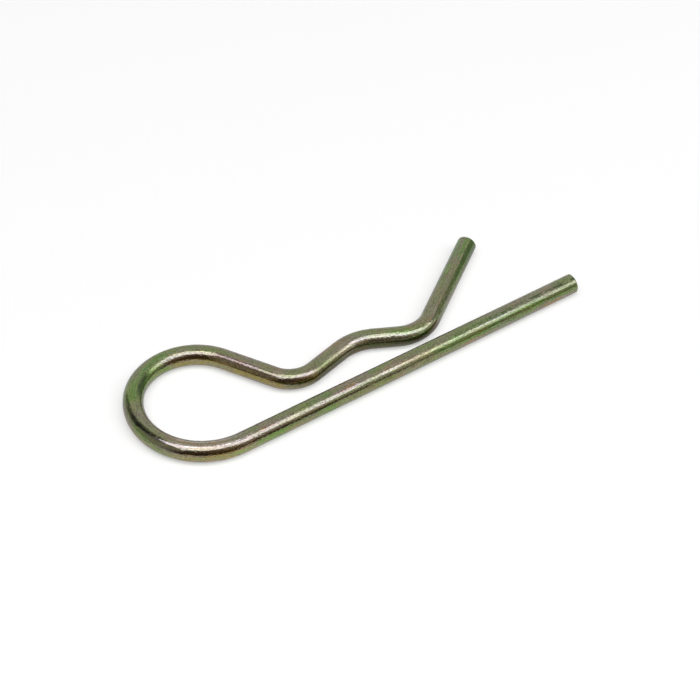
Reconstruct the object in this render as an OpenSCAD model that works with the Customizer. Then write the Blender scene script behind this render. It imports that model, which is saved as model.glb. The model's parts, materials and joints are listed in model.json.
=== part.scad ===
// Hitch R-clip, the spring clip that keeps a hitch pin from falling out.
// It is one length of round spring wire, bent in one plane. The straight leg goes through
// the cross hole of the hitch pin, and the hump of the other leg snaps round the pin's
// outside. The bow is the spring between the two legs, and the ring to pull the clip by.
//
// Millimetres. The wire's centreline lies in the plane z = 0. The origin is where the axis
// of the hitch pin crosses the straight leg. +X runs along the straight leg to its free
// end, and +Y points from the straight leg to the humped leg.

/* [Wire] */
// Diameter of the wire
wire_d = 4; // [3:0.1:5]
// Radius of the worn edge round each sheared end
end_edge_r = 0.4; // [0.1:0.05:0.8]

/* [Straight leg] */
// Reach of the straight leg past the axis of the hitch pin
leg_reach = 46.8; // [36:0.2:80]

/* [Hitch pin seat] */
// Diameter of the hitch pin that the hump seats on
pin_d = 16; // [13:0.5:20]
// Clearance between the hitch pin and the hump
seat_clearance = 0.2; // [0:0.05:1]

/* [Throat] */
// Gap between the throat bend and the straight leg, which springs open over the pin
throat_gap = 2; // [0.5:0.1:4]
// Radius of the throat bend at the wire's centreline
throat_r = 7.6; // [5:0.1:12]
// Straight wire between the hump and the throat bend
fall_len = 5.2; // [2:0.1:12]

/* [Lead-in] */
// Angle between the lead-in and the straight leg
lead_in_angle = 36; // [20:1:60]
// Length of the lead-in beyond the throat bend
lead_in_len = 23.6; // [10:0.2:40]

/* [Neck] */
// Gap between the neck bend and the straight leg
neck_gap = 3.85; // [2:0.05:6]
// Radius of the neck bend at the wire's centreline
neck_r = 6.3; // [4:0.1:10]
// Straight wire between the neck bend and the hump
rise_len = 7.5; // [4:0.1:14]

/* [Bow] */
// Radius of the bow's wide turn at the wire's centreline
bow_r = 13.5; // [11.5:0.1:18]
// How far the wide turn goes round from the straight leg
bow_turn = 125; // [90:1:160]
// Radius of the bow's tighter shoulder at the wire's centreline
shoulder_r = 11.5; // [10:0.1:15]
// Slope at which the wire comes down from the shoulder to the neck
slant_angle = 59.5; // [45:0.5:70]

/* [Hidden] */
$fn = 64;

wire_r = wire_d / 2;
knuckle_swell = 0.002;  // by how much a knuckle is thicker than the wire

// The hump is concentric with the hitch pin
hump_r = pin_d / 2 + seat_clearance + wire_r;

// Heights of the two low bends' centrelines over the straight leg's
neck_y = wire_d + neck_gap;
throat_y = wire_d + throat_gap;

// Slope of a straight that takes the wire through a height h, from level to level, where
// the straight's length is len and the radii of the bends at its ends add up to r
function slope(h, r, len) = atan2(r, len) + asin((h - r) / norm([len, r]));

rise_angle = slope(hump_r - neck_y, hump_r + neck_r, rise_len);
fall_angle = slope(hump_r - throat_y, hump_r + throat_r, fall_len);
shoulder_turn = 180 + slant_angle - bow_turn;

// End of the bow, from the point where the straight leg runs into it
shoulder_x = (shoulder_r - bow_r) * sin(bow_turn) + shoulder_r * sin(slant_angle);
shoulder_y = bow_r + (shoulder_r - bow_r) * cos(bow_turn) + shoulder_r * cos(slant_angle);

// The slant takes up the height between the shoulder and the neck bend
slant_len = (shoulder_y - neck_y - neck_r * (1 - cos(slant_angle))) / sin(slant_angle);

// Where the neck bend is lowest, and where the straight leg runs into the bow
neck_x = -(hump_r + neck_r) * sin(rise_angle) - rise_len * cos(rise_angle);
bow_x = neck_x - neck_r * sin(slant_angle) - slant_len * cos(slant_angle) - shoulder_x;

// The wire is laid stretch by stretch along +X. The children of each stretch go on from
// its far end, over a knuckle that covers the seam and fuses the two into one solid.
module knuckle() {
    rotate([0, 90, 0]) sphere(d = wire_d + knuckle_swell);
    children();
}

module run(len) {
    rotate([0, 90, 0]) cylinder(d = wire_d, h = len);
    translate([len, 0, 0]) knuckle() children();
}

// Bend at centreline radius r, to the left through a positive turn and to the right
// through a negative one, which is a left bend rolled over
module bend(r, turn) {
    roll = turn < 0 ? 180 : 0;
    rotate([roll, 0, 0]) translate([0, r, 0]) {
        rotate(-90) rotate_extrude(angle = abs(turn)) translate([r, 0]) circle(d = wire_d);
        rotate(abs(turn)) translate([0, -r, 0]) rotate([-roll, 0, 0]) knuckle() children();
    }
}

// Last stretch of wire up to a free end, which is sheared off square with a worn edge
module free_end(len) {
    rotate([0, 90, 0]) rotate_extrude() {
        square([wire_r, len - end_edge_r]);
        square([wire_r - end_edge_r, len]);
        translate([wire_r - end_edge_r, len - end_edge_r]) circle(end_edge_r);
    }
}

module clip_wire() {
    color("#7f8360")
    translate([bow_x, 0, 0]) {
        free_end(leg_reach - bow_x);  // the straight leg
        rotate(180) knuckle()
        bend(bow_r, -bow_turn)
        bend(shoulder_r, -shoulder_turn)
        run(slant_len)
        bend(neck_r, slant_angle + rise_angle)
        run(rise_len)
        bend(hump_r, -rise_angle - fall_angle)
        run(fall_len)
        bend(throat_r, fall_angle + lead_in_angle)
        free_end(lead_in_len);
    }
}

clip_wire();
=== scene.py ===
"""Hitch R-clip in its finish: one bent spring wire with an iridescent zinc plate, on a white floor.

Metres, in the frame of the CAD part: the straight leg runs along +X through the origin, and the
wire is bent in the plane z = 0. The wire is swept again here with worn ends and a slightly
uneven skin, and its material follows the wire as it was before it was bent.
"""

import json
from math import asin, atan2, cos, hypot, pi, radians, sin, sqrt

import bpy
import numpy as np
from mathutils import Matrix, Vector


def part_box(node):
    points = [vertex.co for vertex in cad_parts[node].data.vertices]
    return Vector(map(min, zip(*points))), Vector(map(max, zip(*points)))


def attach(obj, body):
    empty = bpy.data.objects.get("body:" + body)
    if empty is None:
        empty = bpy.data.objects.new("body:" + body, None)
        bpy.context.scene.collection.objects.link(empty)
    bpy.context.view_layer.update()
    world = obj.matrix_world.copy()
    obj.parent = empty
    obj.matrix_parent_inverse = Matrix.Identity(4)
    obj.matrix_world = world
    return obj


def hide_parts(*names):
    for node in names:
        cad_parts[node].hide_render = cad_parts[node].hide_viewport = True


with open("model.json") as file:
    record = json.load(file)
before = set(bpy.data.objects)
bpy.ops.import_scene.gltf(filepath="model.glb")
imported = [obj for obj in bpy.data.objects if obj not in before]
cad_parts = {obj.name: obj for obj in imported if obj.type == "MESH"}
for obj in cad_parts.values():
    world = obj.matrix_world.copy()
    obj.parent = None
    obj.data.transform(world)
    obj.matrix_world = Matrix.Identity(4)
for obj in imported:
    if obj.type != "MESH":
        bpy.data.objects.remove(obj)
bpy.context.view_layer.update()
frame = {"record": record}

MM = 0.001

# The wire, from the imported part: its radius is the straight leg's mount, and its reach the box
LEG_MOUNT = next(mount for mount in frame["record"]["mounts"] if mount["name"] == "straight_leg")
WIRE_R = LEG_MOUNT["dims"]["r_mm"] * MM
LEG_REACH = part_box("clip_wire")[1].x

# The bends, as the part's source has them
HUMP_R = 10.2 * MM  # half a 16 mm hitch pin, its clearance, and half the wire
NECK_Y = 7.85 * MM
NECK_R = 6.3 * MM
RISE_LEN = 7.5 * MM
THROAT_Y = 6.0 * MM
THROAT_R = 7.6 * MM
FALL_LEN = 5.2 * MM
LEAD_IN_ANGLE = radians(36)
LEAD_IN_LEN = 23.6 * MM
BOW_R = 13.5 * MM
BOW_TURN = radians(125)
SHOULDER_R = 11.5 * MM
SLANT_ANGLE = radians(59.5)

# The sheared ends
EDGE_R = 0.4 * MM        # worn edge round each end
FACE_RINGS = 7           # rings across each face, between its middle and its edge
EDGE_RINGS = 9           # rings over each worn edge
DISH = 0.05 * MM         # how far a face is dished
FACE_SLOPE = 0.07        # slope of a face against square
LEG_LEAN = 0.6           # direction round the wire in which the leg's face leans, in radians
LEAD_IN_LEAN = 2.4       # and the lead-in's
LEAN_FADE = 1.2 * MM     # distance over which the lean fades into the wire

# The wire between them
RING_STEP = 0.26 * MM    # between the rings along the wire
SIDES = 92               # points round a ring
SKIN_DEPTH = 0.008 * MM  # how far the uneven skin goes in
RIPPLE_WAVES = 40        # waves that make the skin uneven
SHORTEST_WAVE = 1.2 * MM
WAVE_OCTAVES = 2.5       # the longest wave is this many doublings longer
WAVES_AROUND = 5         # a wave goes fewer times than this round the wire
RIPPLE_SEED = 7


# ---------------------------------------------------------------------------------------------
# The bent wire
# ---------------------------------------------------------------------------------------------

def slope(height, radii, length):
    """Slope of a straight between two bends that lie a height apart, where radii is the bends' sum:
    atan(radii / length) + asin((height - radii) / hypotenuse of length and radii)."""
    return atan2(radii, length) + asin((height - radii) / hypot(length, radii))


def wire_stretches():
    """Length and turn of each straight and bend, from the straight leg's free end to the lead-in's.
    A turn to the left is positive."""
    rise = slope(HUMP_R - NECK_Y, HUMP_R + NECK_R, RISE_LEN)
    fall = slope(HUMP_R - THROAT_Y, HUMP_R + THROAT_R, FALL_LEN)
    shoulder_turn = radians(180) + SLANT_ANGLE - BOW_TURN
    shoulder_x = (SHOULDER_R - BOW_R) * sin(BOW_TURN) + SHOULDER_R * sin(SLANT_ANGLE)
    shoulder_y = BOW_R + (SHOULDER_R - BOW_R) * cos(BOW_TURN) + SHOULDER_R * cos(SLANT_ANGLE)
    slant_len = (shoulder_y - NECK_Y - NECK_R * (1 - cos(SLANT_ANGLE))) / sin(SLANT_ANGLE)
    neck_x = -(HUMP_R + NECK_R) * sin(rise) - RISE_LEN * cos(rise)
    bow_x = neck_x - NECK_R * sin(SLANT_ANGLE) - slant_len * cos(SLANT_ANGLE) - shoulder_x
    stretches = [
        (LEG_REACH - bow_x, 0.0),
        (BOW_R * BOW_TURN, -BOW_TURN),
        (SHOULDER_R * shoulder_turn, -shoulder_turn),
        (slant_len, 0.0),
        (NECK_R * (SLANT_ANGLE + rise), SLANT_ANGLE + rise),
        (RISE_LEN, 0.0),
        (HUMP_R * (rise + fall), -rise - fall),
        (FALL_LEN, 0.0),
        (THROAT_R * (fall + LEAD_IN_ANGLE), fall + LEAD_IN_ANGLE),
        (LEAD_IN_LEN, 0.0),
    ]
    return np.array(stretches)


STRETCHES = wire_stretches()
WIRE_LEN = float(STRETCHES[:, 0].sum())


def centreline(distance):
    """Point and heading of the wire's centreline at each distance from the straight leg's free end.
    Within a stretch of curvature k the heading grows by k per metre. The chord from the
    stretch's start is then distance * sin(half turn) / half turn, at the mean heading."""
    length, turn = STRETCHES.T
    curvature = turn / length
    start = np.concatenate([[0.0], np.cumsum(length)])
    start_heading = pi + np.concatenate([[0.0], np.cumsum(turn)])

    def chord(run, k, heading):
        size = run * np.sinc(k * run / 2 / pi)
        mean = heading + k * run / 2
        return np.stack([size * np.cos(mean), size * np.sin(mean)], axis=-1)

    whole = chord(length, curvature, start_heading[:-1])
    run_up = np.concatenate([[[0.0, 0.0]], np.cumsum(whole, axis=0)])
    start_point = np.array([LEG_REACH, 0.0]) + run_up
    stretch = np.clip(np.searchsorted(start, distance, side="right") - 1, 0, len(length) - 1)
    run = distance - start[stretch]
    point = start_point[stretch] + chord(run, curvature[stretch], start_heading[stretch])
    return point, start_heading[stretch] + curvature[stretch] * run


def ripples(distance, angle):
    """Uneven skin, mostly from -1 to 1: a sum of waves, each with its own length along the wire,
    whole number of waves around it, and phase, over twice the root of their number."""
    random = np.random.default_rng(RIPPLE_SEED)
    total = np.zeros(np.broadcast(distance, angle).shape)
    for _ in range(RIPPLE_WAVES):
        wave = SHORTEST_WAVE * 2 ** random.uniform(0, WAVE_OCTAVES)
        around = random.integers(0, WAVES_AROUND)
        phase = random.uniform(0, 2 * pi)
        total += np.sin(2 * pi * distance / wave + around * angle + phase)
    return total / sqrt(RIPPLE_WAVES) / 2


def end_profile():
    """Distance from the end and radius of the rings over a sheared end, from its middle outwards:
    rings across the dished face, then a quarter circle over the worn edge. The dish is
    DISH * (1 - the square of the share of the way to the edge)."""
    share = np.arange(1, FACE_RINGS + 1) / (FACE_RINGS + 1)
    turn = np.linspace(0.0, pi / 2, EDGE_RINGS)
    inset = np.concatenate([DISH * (1 - share ** 2), EDGE_R * (1 - np.cos(turn))])
    radius = np.concatenate([share * (WIRE_R - EDGE_R), WIRE_R - EDGE_R + EDGE_R * np.sin(turn)])
    return inset, radius


def lean(from_end, share, around, direction):
    """How far the points near an end move in along the wire, so that its face leans: slope * radius
    * (1 + share of the radius * cos(angle from the direction)), fading with the distance."""
    tilt = FACE_SLOPE * WIRE_R * (1 + share * np.cos(around - direction))
    return tilt * np.exp(-from_end / LEAN_FADE)


def wire_points():
    """Points of the wire, ring by ring and then the middles of the two faces, as they lie and as
    they lay on the wire before it was bent. Also the number of rings.
    A ring's point lies at centre + radius * (cos(angle) * side + sin(angle) * up). The skin sinks
    by the ripples, and the faces lean, both inwards only."""
    inset, end_radius = end_profile()
    body = np.linspace(EDGE_R, WIRE_LEN - EDGE_R, int(WIRE_LEN / RING_STEP))[1:-1]
    distance = np.concatenate([inset, body, (WIRE_LEN - inset)[::-1]])[:, None]
    radius = np.concatenate([end_radius, np.full(len(body), WIRE_R), end_radius[::-1]])[:, None]
    around = (np.arange(SIDES) * 2 * pi / SIDES)[None, :]

    share = radius / WIRE_R
    skin = SKIN_DEPTH * (1 + np.clip(ripples(distance, around), -1, 1)) / 2
    spread = radius - skin * share
    place = distance + lean(distance, share, around, LEG_LEAN)
    place = place - lean(WIRE_LEN - distance, share, around, LEAD_IN_LEAN)

    centre, heading = centreline(place)
    side = np.stack([-np.sin(heading), np.cos(heading)], axis=-1)
    across, up = spread * np.cos(around), spread * np.sin(around)
    bent = np.concatenate([centre + side * across[..., None], up[..., None]], axis=-1)
    unbent = np.stack([place, across, up], axis=-1)

    tip_inset = DISH + FACE_SLOPE * WIRE_R
    tips, _ = centreline(np.array([tip_inset, WIRE_LEN - tip_inset]))
    bent = np.concatenate([bent.reshape(-1, 3), np.column_stack([tips, [0.0, 0.0]])])
    unbent_tips = np.array([[DISH, 0.0, 0.0], [WIRE_LEN - DISH, 0.0, 0.0]])
    unbent = np.concatenate([unbent.reshape(-1, 3), unbent_tips])
    return bent, unbent, len(distance)


def wire_faces(rings):
    """Faces of the wire, outwards: a quad between each two neighbours on each two rings, and a fan
    from each face's middle to the ring round it. Also which of them lie on a sheared face."""
    index = np.arange(rings * SIDES).reshape(rings, SIDES)
    after = np.roll(index, -1, axis=1)
    quads = np.stack([index[:-1], after[:-1], after[1:], index[1:]], axis=-1).reshape(-1, 4)
    leg_tip = np.full(SIDES, rings * SIDES)
    leg_fan = np.stack([leg_tip, after[0], index[0]], axis=-1)
    lead_in_fan = np.stack([leg_tip + 1, index[-1], after[-1]], axis=-1)
    ring = np.repeat(np.arange(rings - 1), SIDES)
    on_face = (ring < FACE_RINGS) | (ring >= rings - 1 - FACE_RINGS)
    on_face = np.concatenate([on_face, np.ones(2 * SIDES, bool)])
    return quads.tolist() + leg_fan.tolist() + lead_in_fan.tolist(), on_face


def make_wire(name):
    """The bent wire: circles of the wire's radius carried along the centreline, from the middle of
    one sheared face over the worn edge and along the wire to the middle of the other."""
    bent, unbent, rings = wire_points()
    faces, on_face = wire_faces(rings)
    mesh = bpy.data.meshes.new(name)
    mesh.from_pydata(bent.tolist(), [], faces)
    mesh.polygons.foreach_set("use_smooth", np.ones(len(faces), bool))
    mesh.polygons.foreach_set("material_index", on_face.astype(np.int32))
    wire_position = mesh.attributes.new("unbent_wire", "FLOAT_VECTOR", "POINT")
    wire_position.data.foreach_set("vector", unbent.ravel())
    mesh.update()
    mesh.validate()
    piece = bpy.data.objects.new(name, mesh)
    bpy.context.scene.collection.objects.link(piece)
    return piece


# ---------------------------------------------------------------------------------------------
# The finish: its values
# ---------------------------------------------------------------------------------------------

# Patterns of the finish: factors on the place along the wire, across it and up, size of the
# features, detail, and the levels between which the pattern counts. A factor below 1 draws the
# pattern out in that direction.
FULL = (0.25, 0.75)  # about all of the noise lies between these levels
PATTERNS = {
    # Tint of the film
    "borders": ((1.0, 1.0, 1.0), 5 * MM, 2.0, FULL),
    "bands": ((1.0, 0.25, 0.25), 2.6 * MM, 1.0, FULL),
    "clouds": ((0.35, 1.0, 1.0), 2.0 * MM, 1.5, FULL),
    "streaks": ((0.06, 1.0, 1.0), 0.55 * MM, 1.5, FULL),
    "rich_streaks": ((0.08, 1.0, 1.0), 0.7 * MM, 1.5, FULL),
    "rich_clouds": ((0.5, 1.0, 1.0), 3 * MM, 1.0, FULL),
    "spots": ((0.4, 1.0, 1.0), 0.45 * MM, 1.5, (0.42, 0.54)),
    # Skin of the wire
    "draw_lines": ((0.03, 1.0, 1.0), 0.28 * MM, 2.0, FULL),
    "grain": ((0.55, 1.0, 1.0), 0.22 * MM, 1.0, FULL),
    "coarseness": ((1.0, 0.3, 0.3), 9 * MM, 1.0, (0.35, 0.65)),
    "swells": ((0.4, 1.0, 1.0), 0.5 * MM, 1.5, FULL),
    "hairs": ((0.08, 1.0, 1.0), 0.22 * MM, 1.0, FULL),
    "specks": ((0.6, 1.0, 1.0), 0.22 * MM, 0.0, FULL),
    "pits": ((0.55, 1.0, 1.0), 0.30 * MM, 1.0, (0.62, 0.72)),
    "pitted_places": ((1.0, 1.0, 1.0), 5 * MM, 1.0, (0.42, 0.6)),
    "rubs": ((0.05, 1.0, 1.0), 0.3 * MM, 2.0, (0.62, 0.74)),
    "rubbed_places": ((0.5, 1.0, 1.0), 6 * MM, 1.0, (0.5, 0.62)),
    "scratches": ((0.25, 1.0, 1.0), 0.3 * MM, 2.0, (0.40, 0.56)),
    "gloss": ((0.4, 1.0, 1.0), 1.4 * MM, 3.0, (0.3, 0.7)),
    # Sheared ends
    "chips": ((0.6, 1.0, 1.0), 0.7 * MM, 2.0, (0.40, 0.54)),
    "tear_line": ((1.0, 1.0, 1.0), 0.9 * MM, 2.0, FULL),
    "blade_lines": ((1.0, 1.0, 0.08), 0.16 * MM, 2.0, FULL),
    "tears": ((1.0, 1.0, 1.0), 0.35 * MM, 3.0, FULL),
}

# Tints of the passivated zinc, in the order in which they follow as the film gets thicker
FILM_TINTS = [
    (0.00, (0.222, 0.185, 0.066)),  # gold
    (0.14, (0.236, 0.176, 0.088)),  # orange
    (0.28, (0.219, 0.177, 0.134)),  # rose
    (0.42, (0.199, 0.184, 0.126)),  # pinkish grey
    (0.56, (0.186, 0.189, 0.112)),  # olive grey
    (0.70, (0.174, 0.194, 0.100)),  # olive
    (0.84, (0.152, 0.203, 0.084)),  # green
    (1.00, (0.128, 0.212, 0.066)),  # deep green
]

# Thickness of the film, from 0 to 1 as in FILM_TINTS, at distances along the wire: on the wire's
# crown, on its flanks, and low on its sides and underneath
FILM_ALONG = [
    (0 * MM, 0.66, 0.70, 0.60),
    (5 * MM, 0.44, 0.72, 0.30),
    (11 * MM, 0.50, 0.74, 0.50),
    (18 * MM, 0.62, 0.76, 0.60),
    (22 * MM, 0.55, 0.68, 0.58),
    (27 * MM, 0.80, 0.76, 0.58),
    (32 * MM, 0.46, 0.66, 0.40),
    (37 * MM, 0.60, 0.44, 0.56),
    (42 * MM, 0.52, 0.57, 0.58),
    (48 * MM, 0.38, 0.46, 0.58),
    (53 * MM, 0.42, 0.50, 0.68),
    (58 * MM, 0.60, 0.60, 0.82),
    (65 * MM, 0.64, 0.50, 0.68),
    (72 * MM, 0.42, 0.52, 0.62),
    (78 * MM, 0.50, 0.46, 0.56),
    (84 * MM, 0.44, 0.42, 0.34),
    (89 * MM, 0.36, 0.46, 0.36),
    (94 * MM, 0.62, 0.60, 0.60),
    (100 * MM, 0.58, 0.62, 0.22),
    (105 * MM, 0.76, 0.74, 0.50),
    (112 * MM, 0.84, 0.76, 0.72),
    (117 * MM, 0.84, 0.56, 0.76),
    (122 * MM, 0.56, 0.38, 0.04),
    (130 * MM, 0.44, 0.34, 0.10),
    (138 * MM, 0.52, 0.34, 0.12),
    (144 * MM, 0.52, 0.40, 0.50),
    (151 * MM, 0.42, 0.80, 0.66),
    (156 * MM, 0.34, 0.28, 0.22),
    (164 * MM, 0.60, 0.50, 0.62),
    (172 * MM, 0.60, 0.86, 0.56),
    (184 * MM, 0.46, 0.50, 0.56),
    (192 * MM, 0.72, 0.80, 0.50),
]

# Heights on the wire, in radii over its middle, at which one part of it passes into the next. Soft
# borders are pairs of where a place begins and where it is full.
CROWN_TO_FLANK = (0.9, 0.78)
FLANK_TO_LOW = (0.42, 0.12)
UPPER_SHOULDER = [(0.55, 0.68), (0.93, 0.85)]
STRIPE_HEIGHT = [(0.10, 0.26), (0.74, 0.58)]

# Shift of the film's thickness in a stripe between flank and low side, at distances along the wire:
# green along the leg and brown round the bow
STRIPE = [
    (8 * MM, 0.20),
    (14 * MM, 0.36),
    (33 * MM, 0.36),
    (38 * MM, 0.04),
    (52 * MM, 0.14),
    (74 * MM, 0.04),
    (79 * MM, -0.24),
    (91 * MM, -0.24),
    (96 * MM, 0.0),
    (102 * MM, -0.28),
    (108 * MM, 0.16),
    (115 * MM, 0.16),
    (119 * MM, -0.34),
    (140 * MM, -0.38),
    (150 * MM, -0.12),
    (160 * MM, 0.04),
]

# Factor on the tint low on the sides, at distances along the wire. Its changes of hue are the film's
# own, and its brightening is painted light: a painted reflection of a brighter floor, a little
# everywhere and more so under the bow
LOW_TINT_AND_PAINTED_LIGHT = [
    (0 * MM, (1.12, 1.12, 1.10)),
    (18 * MM, (1.14, 1.12, 1.24)),
    (30 * MM, (1.14, 1.14, 1.10)),
    (45 * MM, (1.12, 1.14, 0.96)),
    (66 * MM, (1.14, 1.18, 0.92)),
    (79 * MM, (1.40, 1.44, 1.16)),
    (90 * MM, (1.24, 1.26, 1.06)),
    (100 * MM, (1.16, 1.16, 1.08)),
    (110 * MM, (1.16, 1.16, 1.32)),
    (118 * MM, (1.12, 1.22, 0.92)),
    (127 * MM, (1.10, 1.22, 0.88)),
    (138 * MM, (1.02, 1.08, 0.92)),
    (150 * MM, (1.12, 1.12, 1.00)),
    (180 * MM, (1.10, 1.08, 1.06)),
    (200 * MM, (0.96, 0.96, 0.92)),
]
RAMP_TOP = 2.0  # a ramp's colours end at 1, so factors go into it divided by this

# The zones of the film lie askew on the wire, and their borders waver by this much
ZONE_DIRECTION = (1.0, 0.35, -0.2)
BORDER_WAVER = 1.6 * MM

# Patterns that make the film thicker or thinner, and how much. Low on the sides they do so more,
# and on the upper shoulders less.
FILM_SPREAD = [("bands", 0.10), ("clouds", 0.18), ("streaks", 0.22)]
LOW_SPREAD = 0.4
SHOULDER_SPREAD = -0.45

# Patterns that make the tint richer or greyer, through the blue that is left in it
RICHNESS = [("rich_streaks", 0.7), ("rich_clouds", 0.4)]
BLUE_MEAN = 0.95
BLUE_SPREAD = 0.20

# Marks on the plate, and patches of painted shade and painted highlight, inside soft borders: along
# the wire in shares of its length, and in radii up and across, where minus is the wire's inner side.
# A mark's strength is a share that is even and a share that comes in spots.
MARKS_AND_PAINTED_LIGHT = [
    {  # painted shade, low on the inner side of the small bends: the shadowed floor that this side reflects
        "along": [(0.705, 0.735), (0.89, 0.87)], "height": [(0.34, 0.10)], "across": [(-0.5, -0.85)],
        "strength": (0.68, 0.0), "tint": (0.02, 0.024, 0.012),
    },
    {  # painted highlight, a paler band under the hump's and the throat's highlight that extends it
        "along": [(0.75, 0.79), (0.885, 0.865)], "height": [(0.38, 0.54), (0.86, 0.74)],
        "strength": (0.55, 0.0), "tint": (0.40, 0.41, 0.31),
    },
    {  # painted highlight, a paler band on the crown of the bow's near turn that extends its highlight back
        "along": [(0.37, 0.40), (0.465, 0.44)], "height": [(0.90, 0.94), (1.0, 0.97)],
        "strength": (0.55, 0.0), "tint": (0.44, 0.41, 0.33),
    },
    {  # paler flank by the straight leg's free end
        "along": [(0.16, 0.09)], "height": [(0.2, 0.5)], "across": [(0.34, 0.44), (0.72, 0.62)],
        "strength": (0.5, 0.0), "tint": (0.20, 0.215, 0.165),
    },
    {  # dark green mottling on the shoulder over it
        "along": [(0.16, 0.09)], "height": [(0.2, 0.5)], "across": [(0.10, 0.20), (0.46, 0.38)],
        "strength": (0.0, 0.8), "tint": (0.045, 0.085, 0.03),
    },
    {  # darker brown on the upper inner side between the bow and the neck
        "along": [(0.625, 0.65), (0.71, 0.69)], "height": [(0.6, 0.75)], "across": [(-0.25, -0.40)],
        "strength": (0.42, 0.0), "tint": (0.06, 0.045, 0.025),
    },
    {  # dark line on the inner side of the bow's far turn
        "along": [(0.515, 0.53), (0.57, 0.555)], "height": [(0.0, 0.3)],
        "across": [(-0.30, -0.45), (-0.80, -0.70)],
        "strength": (0.6, 0.0), "tint": (0.03, 0.05, 0.02),
    },
    {  # sooty mottling on the outer shoulder of the bow's near turn
        "along": [(0.460, 0.475), (0.506, 0.490)], "height": [(0.0, 0.3)],
        "across": [(0.26, 0.40), (0.66, 0.52)],
        "strength": (0.35, 0.4), "tint": (0.040, 0.038, 0.040),
    },
    {  # deep green patch on the inner side near the lead-in's end
        "along": [(0.925, 0.955), (1.0, 0.985)], "height": [(-0.2, 0.1)], "across": [(-0.35, -0.6)],
        "strength": (0.6, 0.0), "tint": (0.080, 0.145, 0.045),
    },
]

# The skin
COARSENESS = (0.35, 1.4)  # factor on the grain where it is finest and where it is coarsest
SWELL_SHARE = 0.4         # height of the swells against the grain's
HAIR_SHADE = 0.35         # how much each of these shades the plate
GRAIN_SHADE = 0.3
SPECK_SHADE = 0.5

# One scuff on the straight leg, placed on the wire before it was bent and drawn out along it
SCUFF_PLACE = (45.0 * MM, 0.45 * WIRE_R, 0.89 * WIRE_R)
SCUFF_FACTORS = (0.3, 1.0, 1.0)
SCUFF_BORDER = (1.0 * MM, 0.4 * MM)

# Where the rims of the ends are worn: distance from the end, and radius as a share of the wire's
WORN_END = (0.65 * MM, 0.30 * MM)
WORN_RIM = (0.80, 0.92)

# What shows through the plate, and how strongly
WORN_RIM_STRENGTH, WORN_RIM_TINT = 0.8, (0.52, 0.53, 0.47)
PIT_STRENGTH, PIT_TINT = 0.4, (0.05, 0.05, 0.03)
RUB_STRENGTH, RUB_TINT = 0.35, (0.34, 0.34, 0.27)
TORN_STRENGTH, TORN_TINT = 0.45, (0.10, 0.10, 0.06)

# Gloss of the plate
GRAZING_TINT = (0.79, 0.76, 0.84)
PLATE_ROUGHNESS = (0.025, 0.065)
PIT_ROUGHNESS = 0.2
COAT_WEIGHT = 0.15
COAT_ROUGHNESS = 0.08

# The sheared faces: the tear's direction, how much its line wavers and how soft it is, in radii,
# and the depth of the marks of tearing and of the blade in millimetres
TEAR_DIRECTION = (0.0, 0.35, 1.0)
TEAR_WAVER = 0.25
TEAR_BORDER = (-0.12, 0.10)
TEAR_DEPTH = 0.03
BLADE_DEPTH = 0.006
BLADE_ROUGHNESS = 0.12
TORN_ROUGHNESS = 0.22  # more than the burnished half
END_VARIATION = 1.6
END_SKIN = {"Line_depth": 0.004, "Grain_depth": 0.014, "Shading": 0.8}


# ---------------------------------------------------------------------------------------------
# The finish: its nodes
# ---------------------------------------------------------------------------------------------

# Sockets of a Mix node that mixes colours
MIX_FACTOR, MIX_A, MIX_B = 0, 6, 7
MIX_RESULT = 2


def grey(value):
    """A colour without hue."""
    return (value,) * 3


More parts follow.
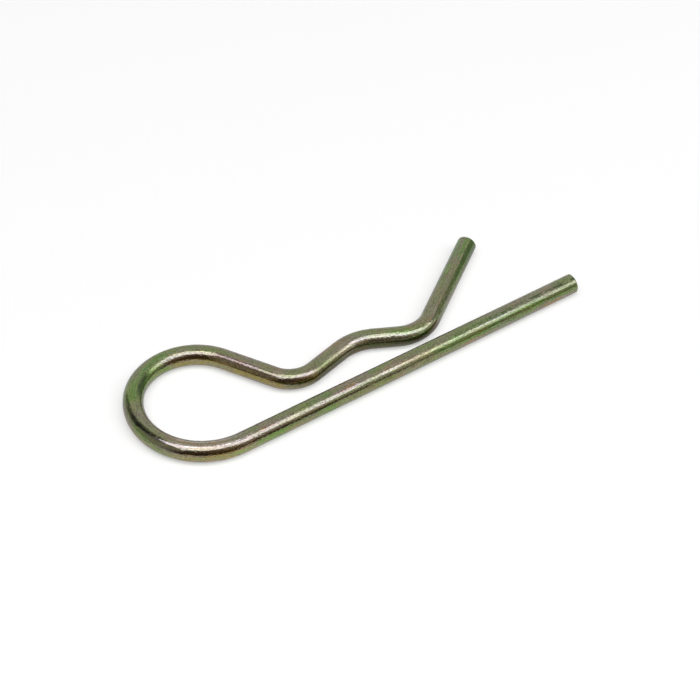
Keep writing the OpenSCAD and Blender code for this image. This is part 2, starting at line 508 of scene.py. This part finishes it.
class Tree:
    """Short hand for the nodes of one material, group or world."""

    def __init__(self, node_tree):
        self.nodes = node_tree.nodes
        self.links = node_tree.links

    def link(self, socket, value):
        """Give an input its value, or link it to the output that its value comes from."""
        if isinstance(value, bpy.types.NodeSocket):
            self.links.new(value, socket)
        elif socket.type == "RGBA":
            socket.default_value = (*value, 1.0)
        else:
            socket.default_value = value

    def add(self, kind, settings=None, first=(), **inputs):
        """A node of a kind. Values go to its first inputs in order, and to inputs by their names."""
        made = self.nodes.new(kind)
        for name, value in (settings or {}).items():
            setattr(made, name, value)
        for socket, value in zip(made.inputs, first):
            self.link(socket, value)
        for name, value in inputs.items():
            self.link(made.inputs[name.replace("_", " ")], value)
        return made

    def group(self, group, **inputs):
        """Outputs of a node group that is placed here."""
        return self.add("ShaderNodeGroup", {"node_tree": group}, **inputs).outputs

    def math(self, operation, *values):
        """Output of a Math node."""
        return self.add("ShaderNodeMath", {"operation": operation}, values).outputs[0]

    def product(self, value, *others):
        """Product of values."""
        for other in others:
            value = self.math("MULTIPLY", value, other)
        return value

    def sum(self, *terms):
        """Sum of pairs of a value and its factor."""
        total = 0.0
        for value, factor in terms:
            total = self.math("MULTIPLY_ADD", value, factor, total)
        return total

    def vector(self, operation, *values, output="Vector", **inputs):
        """Output of a Vector Math node."""
        made = self.add("ShaderNodeVectorMath", {"operation": operation}, values, **inputs)
        return made.outputs[output]

    def scale(self, vector, factors):
        """A vector, each of its parts times a factor."""
        return self.vector("MULTIPLY", vector, factors)

    def dot(self, vector, factors):
        """Sum of a vector's parts, each times a factor."""
        return self.vector("DOT_PRODUCT", vector, factors, output="Value")

    def between(self, value, low, high, to_low=0.0, to_high=1.0):
        """A value mapped smoothly from one range to another, and held at its ends."""
        made = self.add(
            "ShaderNodeMapRange", {"interpolation_type": "SMOOTHSTEP"},
            Value=value, From_Min=low, From_Max=high, To_Min=to_low, To_Max=to_high,
        )
        return made.outputs["Result"]

    def inside(self, value, borders):
        """Mask of where a value is inside all of the soft borders."""
        return self.product(*[self.between(value, begins, full) for begins, full in borders])

    def pattern(self, name, position, to_low=0.0, to_high=1.0):
        """A pattern of the finish: noise of its size, mapped from its levels to this range."""
        factors, size, detail, levels = PATTERNS[name]
        drawn_out = self.scale(position, factors)
        noise = self.add("ShaderNodeTexNoise", Vector=drawn_out, Scale=1 / size, Detail=detail)
        return self.between(noise.outputs["Fac"], *levels, to_low, to_high)

    def signed(self, name, position):
        """A pattern of the finish from -1 to 1."""
        return self.pattern(name, position, -1.0, 1.0)

    def signed_sum(self, patterns, position):
        """Sum of patterns from -1 to 1, each times its factor."""
        return self.sum(*[(self.signed(name, position), factor) for name, factor in patterns])

    def mix(self, factor, a, b, blend="MIX"):
        """Colour a towards colour b."""
        made = self.add("ShaderNodeMix", {"data_type": "RGBA", "blend_type": blend})
        self.link(made.inputs[MIX_FACTOR], factor)
        self.link(made.inputs[MIX_A], a)
        self.link(made.inputs[MIX_B], b)
        return made.outputs[MIX_RESULT]

    def ramp(self, factor, stops):
        """Colour between stops at places from 0 to 1."""
        made = self.add("ShaderNodeValToRGB", Fac=factor)
        elements = made.color_ramp.elements
        while len(elements) < len(stops):
            elements.new(0.5)
        for element, (place, colour) in zip(elements, stops):
            element.position = place
            element.color = (*colour, 1.0)
        return made.outputs["Color"]

    def ramp_along(self, along, stops):
        """Colour between stops at distances along the wire."""
        return self.ramp(along, [(distance / WIRE_LEN, colour) for distance, colour in stops])


def new_group(name, inputs, outputs):
    """An empty shader node group with named sockets. Returns the group, its tree, its inputs and
    its outputs."""
    group = bpy.data.node_groups.new(name, "ShaderNodeTree")
    for socket, kind, value in inputs:
        made = group.interface.new_socket(name=socket, in_out="INPUT", socket_type=kind)
        if value is not None:
            made.default_value = value
    for socket, kind in outputs:
        group.interface.new_socket(name=socket, in_out="OUTPUT", socket_type=kind)
    tree = Tree(group)
    return group, tree, tree.add("NodeGroupInput").outputs, tree.add("NodeGroupOutput").inputs


def new_material(name):
    """An empty material, and its tree."""
    material = bpy.data.materials.new(name)
    material.use_nodes = True
    material.node_tree.nodes.clear()
    return material, Tree(material.node_tree)


def film_thickness(tree, position, variation, along, height, lowness):
    """Thickness of the film: its zone's on crown, flank or low side, the shift of the stripe, and
    the spread of its patterns."""
    distances, *parts = zip(*FILM_ALONG)
    stops = [list(zip(distances, map(grey, part))) for part in parts]
    crown, flank, low = [tree.ramp_along(along, part) for part in stops]
    upper = tree.mix(tree.between(height, *CROWN_TO_FLANK), crown, flank)
    zone = tree.mix(lowness, upper, low)

    # A shift from -1 to 1 goes into its ramp as a grey from 0 to 1
    stripe = [(distance, grey((1 + value) / 2)) for distance, value in STRIPE]
    shift = tree.math("MULTIPLY_ADD", tree.ramp_along(along, stripe), 2.0, -1.0)
    shift = tree.product(shift, tree.inside(height, STRIPE_HEIGHT))

    shoulder = tree.inside(height, UPPER_SHOULDER)
    evenness = tree.sum((lowness, LOW_SPREAD), (shoulder, SHOULDER_SPREAD))
    spread = tree.product(tree.signed_sum(FILM_SPREAD, position), tree.math("ADD", evenness, 1.0))
    return tree.sum((zone, 1.0), (shift, 1.0), (spread, variation))


def add_marks_and_painted_light(tree, tint, position, places):
    """The tint with the marks, painted shade and painted highlights on it. Places are the wire's
    along, height and across.
    """
    spots = tree.pattern("spots", position)
    for patch in MARKS_AND_PAINTED_LIGHT:
        masks = [tree.inside(value, patch[way]) for way, value in places.items() if way in patch]
        even, spotted = patch["strength"]
        strength = tree.math("MULTIPLY_ADD", spots, spotted, even)
        tint = tree.mix(tree.product(*masks, strength), tint, patch["tint"])
    return tint


def film_group():
    """Iridescent passivation. The film's thickness goes up and down along the wire and in long
    streaks round it, and the thickness gives the tint. Other streaks make it richer or greyer."""
    group, tree, given, out = new_group(
        "passivation_film",
        [("Wire position", "NodeSocketVector", None), ("Variation", "NodeSocketFloat", 1.0)],
        [("Color", "NodeSocketColor")],
    )
    position, variation = given["Wire position"], given["Variation"]
    askew = tree.dot(position, ZONE_DIRECTION)
    waver = tree.signed("borders", position)
    along = tree.sum((askew, 1 / WIRE_LEN), (waver, BORDER_WAVER / WIRE_LEN))
    height = tree.dot(position, (0.0, 0.0, 1 / WIRE_R))
    across = tree.dot(position, (0.0, 1 / WIRE_R, 0.0))
    lowness = tree.between(height, *FLANK_TO_LOW)

    # Past its thickest the film's tints come back in reverse
    thickness = film_thickness(tree, position, variation, along, height, lowness)
    tint = tree.ramp(tree.math("PINGPONG", thickness, 1.0), FILM_TINTS)

    richness = tree.product(tree.signed_sum(RICHNESS, position), variation)
    blue = tree.math("MULTIPLY_ADD", richness, BLUE_SPREAD, BLUE_MEAN)
    richer = tree.add("ShaderNodeCombineColor", Red=1.0, Green=1.0, Blue=blue).outputs["Color"]
    tint = tree.mix(1.0, tint, richer, "MULTIPLY")

    # Low on the sides: the film's own hue, and painted light as a brighter reflection of the floor,
    # most under the bow
    low_tint_and_painted_light = [(distance, [part / RAMP_TOP for part in shade]) for distance, shade in LOW_TINT_AND_PAINTED_LIGHT]
    shade = tree.mix(lowness, grey(1 / RAMP_TOP), tree.ramp_along(along, low_tint_and_painted_light))
    tint = tree.mix(1.0, tint, tree.scale(shade, grey(RAMP_TOP)), "MULTIPLY")

    # Marks on the plate, with the patches of painted shade and painted highlight among them
    tint = add_marks_and_painted_light(tree, tint, position, {"along": along, "height": height, "across": across})
    tree.link(out["Color"], tint)
    return group


def skin_group():
    """Skin of drawn, plated wire: height in millimetres of draw lines, plating grain and pits, masks
    of pits and of rubbed lines, and grain as a shade round 1."""
    group, tree, given, out = new_group(
        "drawn_plated_skin",
        [
            ("Wire position", "NodeSocketVector", None),
            ("Line depth", "NodeSocketFloat", 0.0030),
            ("Grain depth", "NodeSocketFloat", 0.0050),
            ("Pit depth", "NodeSocketFloat", 0.010),
            ("Shading", "NodeSocketFloat", 0.45),
        ],
        [(name, "NodeSocketFloat") for name in ("Height", "Pits", "Rubs", "Shade")],
    )
    position = given["Wire position"]
    grain = tree.signed("grain", position)
    pits = tree.product(tree.pattern("pits", position), tree.pattern("pitted_places", position))
    rubs = tree.product(tree.pattern("rubs", position), tree.pattern("rubbed_places", position))

    offset = tree.scale(tree.vector("SUBTRACT", position, SCUFF_PLACE), SCUFF_FACTORS)
    from_scuff = tree.vector("LENGTH", offset, output="Value")
    scuff = tree.product(tree.between(from_scuff, *SCUFF_BORDER), tree.pattern("scratches", position))
    rubs = tree.math("MAXIMUM", rubs, scuff)

    grains = tree.sum((grain, 1.0), (tree.signed("swells", position), SWELL_SHARE))
    coarseness = tree.pattern("coarseness", position, *COARSENESS)
    height = tree.product(grains, coarseness, given["Grain depth"])
    lines = tree.signed("draw_lines", position)
    height = tree.math("MULTIPLY_ADD", lines, given["Line depth"], height)
    height = tree.math("SUBTRACT", height, tree.product(pits, given["Pit depth"]))

    hairs, specks = tree.signed("hairs", position), tree.signed("specks", position)
    shade = tree.sum((hairs, HAIR_SHADE), (grain, GRAIN_SHADE), (specks, SPECK_SHADE))
    shade = tree.math("MULTIPLY_ADD", shade, given["Shading"], 1.0)
    for name, value in (("Height", height), ("Pits", pits), ("Rubs", rubs), ("Shade", shade)):
        tree.link(out[name], value)
    return group


def edge_wear_group():
    """Mask of the rubbed plate round the edge of each sheared end, chipped by noise."""
    group, tree, given, out = new_group(
        "edge_wear", [("Wire position", "NodeSocketVector", None)], [("Wear", "NodeSocketFloat")]
    )
    position = given["Wire position"]
    distance = tree.dot(position, (1.0, 0.0, 0.0))
    from_middle = tree.math("ABSOLUTE", tree.math("SUBTRACT", distance, WIRE_LEN / 2))
    near_end = tree.between(from_middle, *[WIRE_LEN / 2 - from_end for from_end in WORN_END])
    radius = tree.vector("LENGTH", tree.scale(position, (0.0, 1.0, 1.0)), output="Value")
    near_rim = tree.between(radius, *[share * WIRE_R for share in WORN_RIM])
    tree.link(out["Wear"], tree.product(near_end, near_rim, tree.pattern("chips", position)))
    return group


def plate(tree, groups, variation, skin_values):
    """Position on the unbent wire, colour of the plate there, the skin's outputs, and the mask of
    the worn rims."""
    film, skin, wear = groups
    position = tree.add("ShaderNodeAttribute", {"attribute_name": "unbent_wire"}).outputs["Vector"]
    tint = tree.group(film, Wire_position=position, Variation=variation)["Color"]
    surface = tree.group(skin, Wire_position=position, **skin_values)
    colour = tree.vector("SCALE", tint, Scale=surface["Shade"])
    return position, colour, surface, tree.group(wear, Wire_position=position)["Wear"]


def plated_metal(tree, colour, rim, roughness, height):
    """Shader of the plate, with worn rims and bumps of a height in millimetres."""
    bump = tree.add("ShaderNodeBump", Strength=1.0, Distance=MM, Height=height)
    shader = tree.add(
        "ShaderNodeBsdfPrincipled",
        Base_Color=tree.mix(tree.product(rim, WORN_RIM_STRENGTH), colour, WORN_RIM_TINT),
        Roughness=roughness, Normal=bump.outputs["Normal"],
        Metallic=1.0, Specular_Tint=GRAZING_TINT,
    )
    tree.add("ShaderNodeOutputMaterial", Surface=shader.outputs["BSDF"])
    return shader


def plated_wire_material(groups):
    """Semi-gloss zinc plate with a film of olive, green, gold and rose."""
    material, tree = new_material("iridescent_zinc_plate")
    position, colour, surface, rim = plate(tree, groups, 1.0, {})
    colour = tree.mix(tree.product(surface["Pits"], PIT_STRENGTH), colour, PIT_TINT)
    colour = tree.mix(tree.product(surface["Rubs"], RUB_STRENGTH), colour, RUB_TINT)
    gloss = tree.pattern("gloss", position, *PLATE_ROUGHNESS)
    roughness = tree.math("MULTIPLY_ADD", surface["Pits"], PIT_ROUGHNESS, gloss)
    shader = plated_metal(tree, colour, rim, roughness, surface["Height"])
    tree.link(shader.inputs["Coat Weight"], COAT_WEIGHT)
    tree.link(shader.inputs["Coat Roughness"], COAT_ROUGHNESS)
    return material


def sheared_end_material(groups):
    """Sheared face of the wire: one half burnished by the blade in parallel lines, the other torn.
    The tear begins along a wavering line across the face."""
    material, tree = new_material("sheared_end")
    position, colour, surface, rim = plate(tree, groups, END_VARIATION, END_SKIN)
    waver = tree.signed("tear_line", position)
    place = tree.sum((tree.dot(position, TEAR_DIRECTION), 1 / WIRE_R), (waver, TEAR_WAVER))
    torn = tree.between(place, *TEAR_BORDER)
    burnished = tree.math("SUBTRACT", 1.0, torn)
    height = tree.product(tree.signed("tears", position), torn)
    height = tree.math("MULTIPLY_ADD", height, TEAR_DEPTH, surface["Height"])
    lines = tree.product(tree.signed("blade_lines", position), BLADE_DEPTH)
    height = tree.math("MULTIPLY_ADD", burnished, lines, height)
    colour = tree.mix(tree.product(torn, TORN_STRENGTH), colour, TORN_TINT)
    roughness = tree.math("MULTIPLY_ADD", torn, TORN_ROUGHNESS, BLADE_ROUGHNESS)
    plated_metal(tree, colour, rim, roughness, height)
    return material


# ---------------------------------------------------------------------------------------------
# The studio
# ---------------------------------------------------------------------------------------------

# The camera stands at this azimuth and elevation, with a long lens on a full frame
VIEW_AZIMUTH = radians(-33.8)
VIEW_ELEVATION = radians(45)
VIEW_DISTANCE = 385.5 * MM
VIEW_TARGET = Vector((-0.85 * MM, 8.94 * MM, 0.07 * MM))
LENS_MM = 102.86
FRAME_MM = 36.0
NEAREST_SEEN = 0.01
FURTHEST_SEEN = 20.0

# Directions on the floor, as the camera's operator sees them
TO_RIGHT = Vector((cos(VIEW_AZIMUTH), sin(VIEW_AZIMUTH), 0.0))
TO_FRONT = Vector((sin(VIEW_AZIMUTH), -cos(VIEW_AZIMUTH), 0.0))

# The floor and the white surround: what they do to the light, and how much whiter they are seen
FLOOR_Z = -WIRE_R
FLOOR_REACH = 6.0
PAPER_GREY = 0.62
PAPER_LIFT = 0.44
SURROUND_LIGHT = 0.12
SURROUND_LIFT = 0.86

# The softbox, as the lamp in it: its place to the right, to the front and up, its size and radiance
SOFTBOX_PLACE = (0.42, 0.42, 1.2)
SOFTBOX_SIZE = (2.34, 0.92)
SOFTBOX_RADIANCE = 3.45

# Cards that only reflections show. Their places are to the right and to the front, and their
# heights up, all in units of CARD_UNIT.
CARD_UNIT = 0.23
CARD_FADE = (0.1, 0.9)  # shares of a card's height between which its colours pass into each other
CARD_FOOT = (0.01, 0.01)
DARK_CLOTH = (0.14, 0.14, 0.14)
PALE_CLOTH = (0.72, 0.73, 0.72)
GREEN_CLOTH = (0.50, 0.58, 0.46)

# Name, corners round from the back left, height, and the colours at the left and the right
LEVEL_CARDS = [
    (
        "softbox_face", [(-0.95, 0.0), (1.05, -0.05), (1.08, 0.63), (-0.72, 0.90)], 1.2,
        (4.25, 4.00, 5.60), (3.70, 3.60, 4.90),
    ),
    (
        "side_fill", [(1.05, -0.38), (3.4, -0.38), (3.4, 0.42), (1.06, 0.60)], 1.21,
        (2.70, 2.70, 2.75), (1.50, 1.50, 1.50),
    ),
    (
        "ceiling_card", [(-1.3, -0.72), (-0.6, -0.72), (-0.6, 0.1), (-1.3, 0.1)], 1.3,
        DARK_CLOTH, (0.38, 0.35, 0.37),
    ),
]

# Name, start and end on the floor, height of the bottom edge at each, height of the top, and the
# colours at the floor and at the top, at the start and the end
UPRIGHT_CARDS = [
    (
        "left_card", (-0.9, -0.65), (-0.9, -0.02), (0.12, 0.26), 1.7,
        [(0.36, 0.32, 0.34), DARK_CLOTH, (0.34, 0.30, 0.32), DARK_CLOTH],
    ),
    ("left_low_card", (-0.92, -0.65), (-0.92, -0.02), CARD_FOOT, 0.6, [PALE_CLOTH] * 4),
    (
        "left_front_card", (-0.9, -0.02), (-0.9, 1.5), CARD_FOOT, 1.5,
        [(0.70, 0.68, 0.63), (0.08, 0.08, 0.07), (0.66, 0.63, 0.60), (0.58, 0.50, 0.42)],
    ),
    (
        "front_card", (-0.9, 1.5), (2.4, 1.5), CARD_FOOT, 1.95,
        [(0.085, 0.06, 0.048), (0.13, 0.10, 0.075), (0.17, 0.13, 0.105), (0.70, 0.56, 0.44)],
    ),
    (
        "low_card", (2.4, 1.5), (2.7, -0.6), CARD_FOOT, 1.3,
        [(0.56, 0.46, 0.35), (0.62, 0.52, 0.40), (0.70, 0.64, 0.56), (0.75, 0.70, 0.62)],
    ),
    ("right_card", (1.5, -0.4), (1.5, -1.8), CARD_FOOT, 1.3, [GREEN_CLOTH] * 4),
]


def in_studio(right, front, up):
    """A place in the studio: to the right, to the front and up from the origin, in metres."""
    return TO_RIGHT * right + TO_FRONT * front + Vector((0.0, 0.0, up))


def card_place(right, front, up):
    """The same in units of CARD_UNIT."""
    return in_studio(right, front, up) * CARD_UNIT


def place_camera():
    """The camera, aimed at VIEW_TARGET."""
    back = in_studio(0.0, cos(VIEW_ELEVATION), sin(VIEW_ELEVATION))
    camera = bpy.data.cameras.new("camera")
    camera.lens = LENS_MM
    camera.sensor_width = FRAME_MM
    camera.clip_start = NEAREST_SEEN
    camera.clip_end = FURTHEST_SEEN
    holder = bpy.data.objects.new("camera", camera)
    holder.location = VIEW_TARGET + back * VIEW_DISTANCE
    holder.rotation_euler = back.to_track_quat("Z", "Y").to_euler()
    bpy.context.scene.collection.objects.link(holder)
    bpy.context.scene.camera = holder


def make_softbox():
    """The softbox's lamp, which hangs level with its long side across the camera's view, and is as
    bright as its radiance to what it lights. Its power is pi * area * radiance. Reflections show
    the softbox_face card in its stead."""
    width, depth = SOFTBOX_SIZE
    lamp = bpy.data.lights.new("softbox", "AREA")
    lamp.shape = "RECTANGLE"
    lamp.size = width
    lamp.size_y = depth
    lamp.energy = pi * width * depth * SOFTBOX_RADIANCE
    holder = bpy.data.objects.new("softbox", lamp)
    holder.location = in_studio(*SOFTBOX_PLACE)
    holder.rotation_euler = (0.0, 0.0, VIEW_AZIMUTH)
    holder.visible_glossy = False
    holder.visible_camera = False
    bpy.context.scene.collection.objects.link(holder)


def flat_sheet(name, corners, material):
    """A flat four-cornered sheet of the studio."""
    mesh = bpy.data.meshes.new(name)
    mesh.from_pydata([tuple(corner) for corner in corners], [], [(0, 1, 2, 3)])
    mesh.materials.append(material)
    sheet = bpy.data.objects.new(name, mesh)
    bpy.context.scene.collection.objects.link(sheet)
    return sheet


def seen_rays(tree):
    """1 for a ray from the camera or a reflection or refraction, and 0 for one that only lights."""
    path = tree.add("ShaderNodeLightPath").outputs
    seen = tree.math("MAXIMUM", path["Is Camera Ray"], path["Is Glossy Ray"])
    return tree.math("MAXIMUM", seen, path["Is Transmission Ray"])


def floor_material():
    """White paper, which shows a little whiter than its lamp makes it."""
    material, tree = new_material("white_floor")
    paper = tree.add("ShaderNodeBsdfDiffuse", Color=grey(PAPER_GREY)).outputs["BSDF"]
    strength = tree.product(seen_rays(tree), PAPER_LIFT)
    lift = tree.add("ShaderNodeEmission", Strength=strength).outputs["Emission"]
    both = tree.add("ShaderNodeAddShader", first=(paper, lift)).outputs["Shader"]
    tree.add("ShaderNodeOutputMaterial", Surface=both)
    return material


def card_material(name, start, end, top, colours):
    """Cloth of a studio card, shaded between four colours: at its start and its end at the floor,
    and at its start and its end at the top."""
    low_start, low_end, high_start, high_end = colours
    material, tree = new_material(name)
    place = tree.add("ShaderNodeTexCoord").outputs["Object"]
    run = (end - start) / (end - start).length_squared
    across = tree.between(tree.dot(place, run), start.dot(run), start.dot(run) + 1.0)
    height = tree.dot(place, (0.0, 0.0, 1.0))
    height = tree.between(height, *[share * top for share in CARD_FADE])
    low = tree.mix(across, low_start, low_end)
    high = tree.mix(across, high_start, high_end)
    cloth = tree.add("ShaderNodeEmission", Color=tree.mix(height, low, high)).outputs["Emission"]
    tree.add("ShaderNodeOutputMaterial", Surface=cloth)
    return material


def make_card(name, corners, material):
    """A card that only reflections show."""
    card = flat_sheet(name, corners, material)
    card.visible_camera = False
    card.visible_diffuse = False
    card.visible_shadow = False


def upright_card(name, start, end, bottoms, top, colours):
    """A card that stands from one point of the floor to another. Its bottom edge may slant."""
    corners = [
        card_place(*start, bottoms[0]),
        card_place(*end, bottoms[1]),
        card_place(*end, top),
        card_place(*start, top),
    ]
    foot = [card_place(*point, 0.0) for point in (start, end)]
    make_card(name, corners, card_material(name, *foot, top * CARD_UNIT, colours))


def level_card(name, corners, height, left, right):
    """A card that hangs level overhead, with its colour going from left to right."""
    corners = [card_place(*corner, height) for corner in corners]
    colours = (left, right, left, right)
    material = card_material(name, corners[0], corners[1], height * CARD_UNIT, colours)
    make_card(name, corners, material)


def make_surround():
    """White surround, which shows whiter than it lights."""
    world = bpy.data.worlds.new("studio")
    bpy.context.scene.world = world
    world.use_nodes = True
    world.node_tree.nodes.clear()
    tree = Tree(world.node_tree)
    strength = tree.math("MULTIPLY_ADD", seen_rays(tree), SURROUND_LIFT, SURROUND_LIGHT)
    sky = tree.add("ShaderNodeBackground", Color=grey(1.0), Strength=strength)
    tree.add("ShaderNodeOutputWorld", Surface=sky.outputs["Background"])


def make_studio():
    """White surround and floor, a large softbox overhead, a weaker fill at the right, and dark and
    pale cards round the clip."""
    make_surround()
    reach = FLOOR_REACH
    corners = [(-reach, -reach), (reach, -reach), (reach, reach), (-reach, reach)]
    flat_sheet("floor", [(x, y, FLOOR_Z) for x, y in corners], floor_material())
    make_softbox()
    for card in LEVEL_CARDS:
        level_card(*card)
    for card in UPRIGHT_CARDS:
        upright_card(*card)


# ---------------------------------------------------------------------------------------------

place_camera()
make_studio()

clip = make_wire("plated_wire_clip")
groups = film_group(), skin_group(), edge_wear_group()
clip.data.materials.append(plated_wire_material(groups))
clip.data.materials.append(sheared_end_material(groups))
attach(clip, "root")
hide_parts("clip_wire")

scene = bpy.context.scene
scene.view_settings.view_transform = "Standard"
